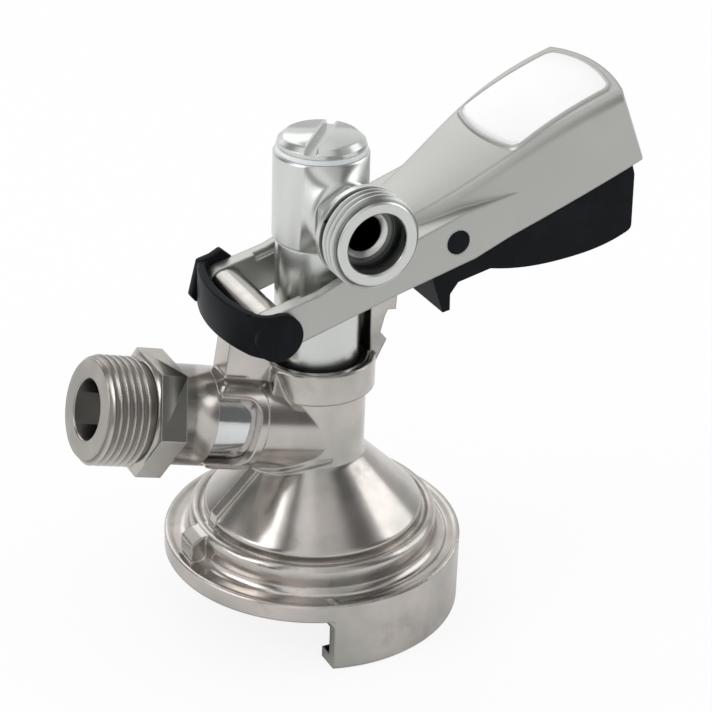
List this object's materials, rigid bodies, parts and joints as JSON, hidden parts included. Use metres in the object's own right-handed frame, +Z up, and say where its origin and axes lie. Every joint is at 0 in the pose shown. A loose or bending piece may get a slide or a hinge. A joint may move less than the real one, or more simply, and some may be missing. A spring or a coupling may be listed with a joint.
{
  "type": "keg coupler",
  "caption": "Slide-on keg coupler with a skirted bell body, threaded gas inlet, swivel beer outlet on a sliding probe, and a latching lever with a squeeze trigger.",
  "frame": {"origin": "on the probe axis, at the plane of the skirt's bottom face", "axes": "+Z up along the probe; +X towards the lever's grip; the gas inlet is on the -X side and the beer outlet points to -Y at rest"},
  "size_m": [0.1469, 0.076, 0.1341],
  "materials": {
    "cast_steel": "electropolished investment-cast stainless steel, satin",
    "turned_steel": "turned stainless steel, fine lathe marks",
    "polished_steel": "mirror-polished stainless steel",
    "lever_metal": "satin nickel-plated zinc die casting",
    "label_white": "gloss white plate, bare",
    "black_plastic": "matte black moulded nylon",
    "black_rubber": "black food-grade rubber",
    "white_plastic": "white translucent acetal washer",
    "spring_steel": "drawn stainless spring wire",
    "bronze": "plain bronze bearing bush"
  },
  "bodies": {
    "coupler_body": {"body_casting": "cast_steel", "keg_seal": "black_rubber", "neck_wiper": "black_rubber", "pivot_bushes": "bronze", "gas_nipple": "cast_steel", "gas_sleeve": "polished_steel", "gas_sleeve_o_ring": "black_rubber", "gas_check_seat": "black_rubber", "gas_check_retainer": "white_plastic", "gas_check_spring": "spring_steel"},
    "lever": {"lever_arm": "lever_metal", "label_plate": "label_white", "pivot_pin": "turned_steel", "pivot_strap": "black_plastic", "trigger_pin": "black_plastic", "trigger_spring": "spring_steel"},
    "trigger": {"trigger": "black_plastic"},
    "probe": {"probe_body": "turned_steel", "drive_pins": "turned_steel", "piston_o_ring": "black_rubber", "probe_tip_seal": "black_rubber", "probe_tip_ring": "turned_steel", "head_o_rings": "black_rubber", "head_washer": "white_plastic", "cap_washer": "white_plastic", "head_cap_screw": "turned_steel"},
    "beer_head": {"outlet_head": "turned_steel"},
    "check_ball": {"gas_check_ball": "polished_steel"}
  },
  "joints": [
    {"name": "lever_pivot", "type": "hinge", "parent": "coupler_body", "child": "lever", "pos_m": [-0.0189, 0, 0.0849], "axis": [0, 1, 0], "range_deg": [0, 31]},
    {"name": "probe_slide", "type": "slide", "parent": "coupler_body", "child": "probe", "axis": [0, 0, 1], "range_m": [-0.0105, 0]},
    {"name": "trigger_squeeze", "type": "hinge", "parent": "lever", "child": "trigger", "pos_m": [0.02939, 0, 0.09981], "axis": [0, -1, 0], "range_deg": [0, 8], "stiffness_Nm_per_rad": 0.3, "springref_deg": -11.46, "deforming": ["trigger_spring"]},
    {"name": "outlet_swivel", "type": "hinge", "parent": "probe", "child": "beer_head", "pos_m": [0, 0, 0], "axis": [0, 0, 1], "range_deg": [-20, 20]},
    {"name": "gas_check", "type": "slide", "parent": "coupler_body", "child": "check_ball", "axis": [0.9613, 0, -0.2756], "range_m": [0, 0.002], "stiffness_N_per_m": 200, "springref_m": -0.002, "deforming": ["gas_check_spring"]}
  ],
  "couplings": [
    {"joint": "probe_slide", "follows": "lever_pivot", "m_per_rad": -0.01934}
  ]
}
